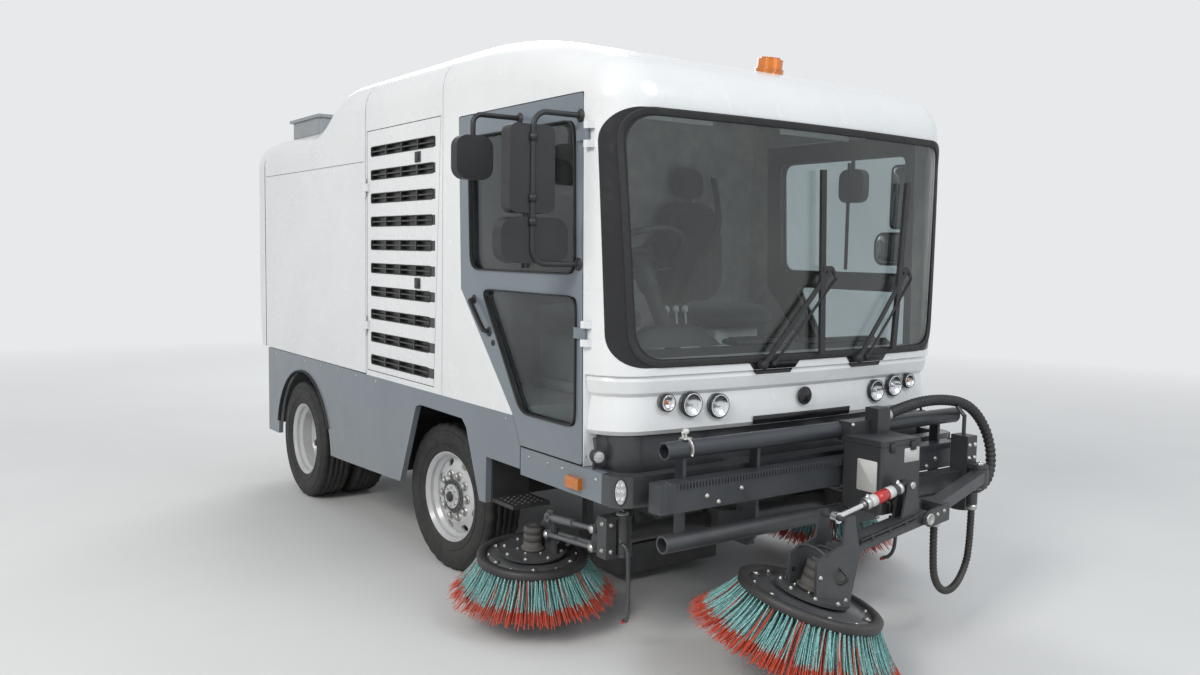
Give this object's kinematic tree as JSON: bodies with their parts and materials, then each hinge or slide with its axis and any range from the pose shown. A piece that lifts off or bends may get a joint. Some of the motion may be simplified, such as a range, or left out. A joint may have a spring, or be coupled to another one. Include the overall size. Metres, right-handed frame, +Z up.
{
  "type": "compact road sweeper",
  "caption": "Compact road sweeper truck with a wide glass cab, side brushes, a boom-mounted front brush and a tipping hopper.",
  "frame": {"origin": "Bottom centre of the whole machine's box at rest, on the ground that the tyres stand on.", "axes": "+Z is up, -Y is the front, +X is the vehicle's left. The centre plane of the vehicle is at x = 0.018 m and the front axle at y = -0.164 m."},
  "size_m": [2.7058, 5.2133, 2.6592],
  "materials": {
    "white_paint": "smooth glossy white panels",
    "blue_grey_paint": "mid blue-grey paint on skirts, door frames and beam",
    "dark_paint": "dark grey textured paint on frame and brush gear",
    "black_plastic": "grained black plastic",
    "seat_fabric": "dark woven seat cover",
    "body_glass": "clear safety glass",
    "head_lens": "clear lamp lens",
    "amber_lens": "amber lens",
    "red_lens": "red lamp lens",
    "tyre_rubber": "tread and sidewall rubber",
    "hose_rubber": "black hose rubber",
    "rim_paint": "silver painted wheel rims",
    "cast_grey": "grey cast parts of axles and knuckles",
    "bristle_teal": "teal plastic bristles with red tips",
    "rod_chrome": "ground and plated rod"
  },
  "bodies": {
    "chassis": {"chassis_frame": "dark_paint", "axles": "cast_grey", "engine_block": "cast_grey", "side_skirts": "blue_grey_paint", "wheel_housings": "black_plastic", "front_bumper": "dark_paint", "rear_bumper": "dark_paint", "rear_lamps": "red_lens", "tow_jaw": "cast_grey", "cab_shell": "white_paint", "front_fascia": "white_paint", "headlamps": "head_lens", "windscreen": "body_glass", "driver_controls": "black_plastic", "cab_seats": "seat_fabric", "engine_cover": "white_paint", "suction_nozzle": "dark_paint", "brush_rails": "blue_grey_paint", "wipers": "black_plastic", "amber_lamps": "amber_lens"},
    "hopper": {"hopper_body": "white_paint", "roof_outlet": "white_paint"},
    "rear_door": {"tailgate": "white_paint"},
    "boom": {"boom_carriage": "dark_paint", "hose_upper": "hose_rubber"},
    "boom_swing": {"swing_arm": "dark_paint", "hose_lower": "hose_rubber"},
    "boom_forearm": {"forearm": "dark_paint"},
    "boom_head": {"front_head": "dark_paint"},
    "front_sweeper": {"front_brush": "bristle_teal"},
    "boom_cylinder": {"tilt_cylinder": "dark_paint"},
    "boom_rod": {"tilt_rod": "rod_chrome"},
    "cab_door_right": {"cab_door_right": "blue_grey_paint", "door_glass_right": "body_glass", "mirror_right": "black_plastic"},
    "engine_door_right": {"engine_door_right": "white_paint"},
    "knuckle_right": {"knuckle_right": "cast_grey"},
    "front_wheel_right": {"front_tyre_right": "tyre_rubber", "front_rim_right": "rim_paint"},
    "rear_wheels_right": {"rear_tyres_right": "tyre_rubber", "rear_rims_right": "rim_paint"},
    "brush_swing_right": {"brush_carrier_right": "dark_paint"},
    "brush_arms_right": {"brush_arms_right": "dark_paint"},
    "brush_link_right": {"brush_link_right": "dark_paint"},
    "brush_head_right": {"brush_head_right": "dark_paint"},
    "sweeper_right": {"side_brush_right": "bristle_teal"},
    "cab_door_left": {"cab_door_left": "blue_grey_paint", "door_glass_left": "body_glass", "mirror_left": "black_plastic"},
    "engine_door_left": {"engine_door_left": "white_paint"},
    "knuckle_left": {"knuckle_left": "cast_grey"},
    "front_wheel_left": {"front_tyre_left": "tyre_rubber", "front_rim_left": "rim_paint"},
    "rear_wheels_left": {"rear_tyres_left": "tyre_rubber", "rear_rims_left": "rim_paint"},
    "brush_swing_left": {"brush_carrier_left": "dark_paint"},
    "brush_arms_left": {"brush_arms_left": "dark_paint"},
    "brush_link_left": {"brush_link_left": "dark_paint"},
    "brush_head_left": {"brush_head_left": "dark_paint"},
    "sweeper_left": {"side_brush_left": "bristle_teal"}
  },
  "joints": [
    {"name": "steer_right", "type": "hinge", "parent": "chassis", "child": "knuckle_right", "pos_m": [-0.647, -0.164, 0.38], "axis": [0, 0, 1], "range_deg": [-35.5, 24.5]},
    {"name": "spin_front_right", "type": "hinge", "parent": "knuckle_right", "child": "front_wheel_right", "pos_m": [-0.81224, -0.17991, 0.38], "axis": [-0.9954, -0.0958, 0], "continuous": true},
    {"name": "spin_rear_right", "type": "hinge", "parent": "chassis", "child": "rear_wheels_right", "pos_m": [-0.782, 1.726, 0.38], "axis": [-1, 0, 0], "continuous": true},
    {"name": "open_cab_door_right", "type": "hinge", "parent": "chassis", "child": "cab_door_right", "pos_m": [-1.019, -1.558, 1.7], "axis": [0, 0, 1], "range_deg": [0, 75]},
    {"name": "open_engine_door_right", "type": "hinge", "parent": "chassis", "child": "engine_door_right", "pos_m": [-1.019, 0.632, 1.6], "axis": [0, 0, -1], "range_deg": [0, 90]},
    {"name": "swing_brush_right", "type": "hinge", "parent": "chassis", "child": "brush_swing_right", "pos_m": [-0.812, -1.564, 0.5], "axis": [0, 0, 1], "range_deg": [-6, 20]},
    {"name": "lift_brush_right", "type": "hinge", "parent": "brush_swing_right", "child": "brush_arms_right", "pos_m": [-0.842, -1.484, 0.44], "axis": [-1, 0, 0], "range_deg": [0, 16]},
    {"name": "link_brush_right", "type": "hinge", "parent": "brush_swing_right", "child": "brush_link_right", "pos_m": [-0.864, -1.494, 0.52], "axis": [-1, 0, 0], "range_deg": [0, 16]},
    {"name": "level_brush_right", "type": "hinge", "parent": "brush_arms_right", "child": "brush_head_right", "pos_m": [-0.842, -1.139, 0.412], "axis": [-1, 0, 0], "range_deg": [-16, 0]},
    {"name": "spin_brush_right", "type": "hinge", "parent": "brush_head_right", "child": "sweeper_right", "pos_m": [-0.932, -1.064, 0.32], "axis": [-0.05, -0.08, 0.9955], "continuous": true},
    {"name": "steer_left", "type": "hinge", "parent": "chassis", "child": "knuckle_left", "pos_m": [0.683, -0.164, 0.38], "axis": [0, 0, 1], "range_deg": [-35.5, 24.5]},
    {"name": "spin_front_left", "type": "hinge", "parent": "knuckle_left", "child": "front_wheel_left", "pos_m": [0.84824, -0.14809, 0.38], "axis": [0.9954, 0.0958, 0], "continuous": true},
    {"name": "spin_rear_left", "type": "hinge", "parent": "chassis", "child": "rear_wheels_left", "pos_m": [0.818, 1.726, 0.38], "axis": [1, 0, 0], "continuous": true},
    {"name": "open_cab_door_left", "type": "hinge", "parent": "chassis", "child": "cab_door_left", "pos_m": [1.055, -1.558, 1.7], "axis": [0, 0, -1], "range_deg": [0, 75]},
    {"name": "open_engine_door_left", "type": "hinge", "parent": "chassis", "child": "engine_door_left", "pos_m": [1.055, 0.632, 1.6], "axis": [0, 0, 1], "range_deg": [0, 90]},
    {"name": "swing_brush_left", "type": "hinge", "parent": "chassis", "child": "brush_swing_left", "pos_m": [0.848, -1.564, 0.5], "axis": [0, 0, -1], "range_deg": [-6, 20]},
    {"name": "lift_brush_left", "type": "hinge", "parent": "brush_swing_left", "child": "brush_arms_left", "pos_m": [0.878, -1.484, 0.44], "axis": [-1, 0, 0], "range_deg": [0, 16]},
    {"name": "link_brush_left", "type": "hinge", "parent": "brush_swing_left", "child": "brush_link_left", "pos_m": [0.9, -1.494, 0.52], "axis": [-1, 0, 0], "range_deg": [0, 16]},
    {"name": "level_brush_left", "type": "hinge", "parent": "brush_arms_left", "child": "brush_head_left", "pos_m": [0.878, -1.139, 0.412], "axis": [-1, 0, 0], "range_deg": [-16, 0]},
    {"name": "spin_brush_left", "type": "hinge", "parent": "brush_head_left", "child": "sweeper_left", "pos_m": [0.968, -1.064, 0.32], "axis": [0.05, -0.08, 0.9955], "continuous": true},
    {"name": "tip_hopper", "type": "hinge", "parent": "chassis", "child": "hopper", "pos_m": [0.018, 2.436, 0.9], "axis": [-1, 0, 0], "range_deg": [0, 48]},
    {"name": "open_tailgate", "type": "hinge", "parent": "hopper", "child": "rear_door", "pos_m": [0.018, 2.488, 2.37], "axis": [1, 0, 0], "range_deg": [0, 80]},
    {"name": "slide_boom", "type": "slide", "parent": "chassis", "child": "boom", "axis": [1, 0, 0], "range_m": [-0.65, 0.08]},
    {"name": "swing_boom", "type": "hinge", "parent": "boom", "child": "boom_swing", "pos_m": [0.798, -2.114, 0.665], "axis": [0, 0, 1], "range_deg": [0, 85]},
    {"name": "roll_forearm", "type": "hinge", "parent": "boom_swing", "child": "boom_forearm", "pos_m": [0.233, -2.219, 0.58], "axis": [0, 1, 0], "range_deg": [-3, 6]},
    {"name": "tilt_head", "type": "hinge", "parent": "boom_forearm", "child": "boom_head", "pos_m": [-0.247, -2.219, 0.515], "axis": [0, 1, 0], "range_deg": [-8, 8]},
    {"name": "spin_front_brush", "type": "hinge", "parent": "boom_head", "child": "front_sweeper", "pos_m": [-0.382, -2.204, 0.358], "axis": [0.2251, -0.159, 0.9613], "continuous": true},
    {"name": "swing_cylinder", "type": "hinge", "parent": "boom_forearm", "child": "boom_cylinder", "pos_m": [0.148, -2.219, 0.725], "axis": [0, 1, 0], "range_deg": [-4, 4]},
    {"name": "push_rod", "type": "slide", "parent": "boom_cylinder", "child": "boom_rod", "axis": [-0.9823, 0, -0.1871], "range_m": [-0.03, 0.03]}
  ],
  "couplings": [
    {"joint": "link_brush_right", "follows": "lift_brush_right", "ratio": 1},
    {"joint": "level_brush_right", "follows": "lift_brush_right", "ratio": -1},
    {"joint": "link_brush_left", "follows": "lift_brush_left", "ratio": 1},
    {"joint": "level_brush_left", "follows": "lift_brush_left", "ratio": -1},
    {"joint": "steer_left", "follows": "steer_right", "ratio": 1},
    {"joint": "swing_cylinder", "follows": "tilt_head", "ratio": -0.00039},
    {"joint": "push_rod", "follows": "tilt_head", "m_per_rad": -0.13195}
  ]
}
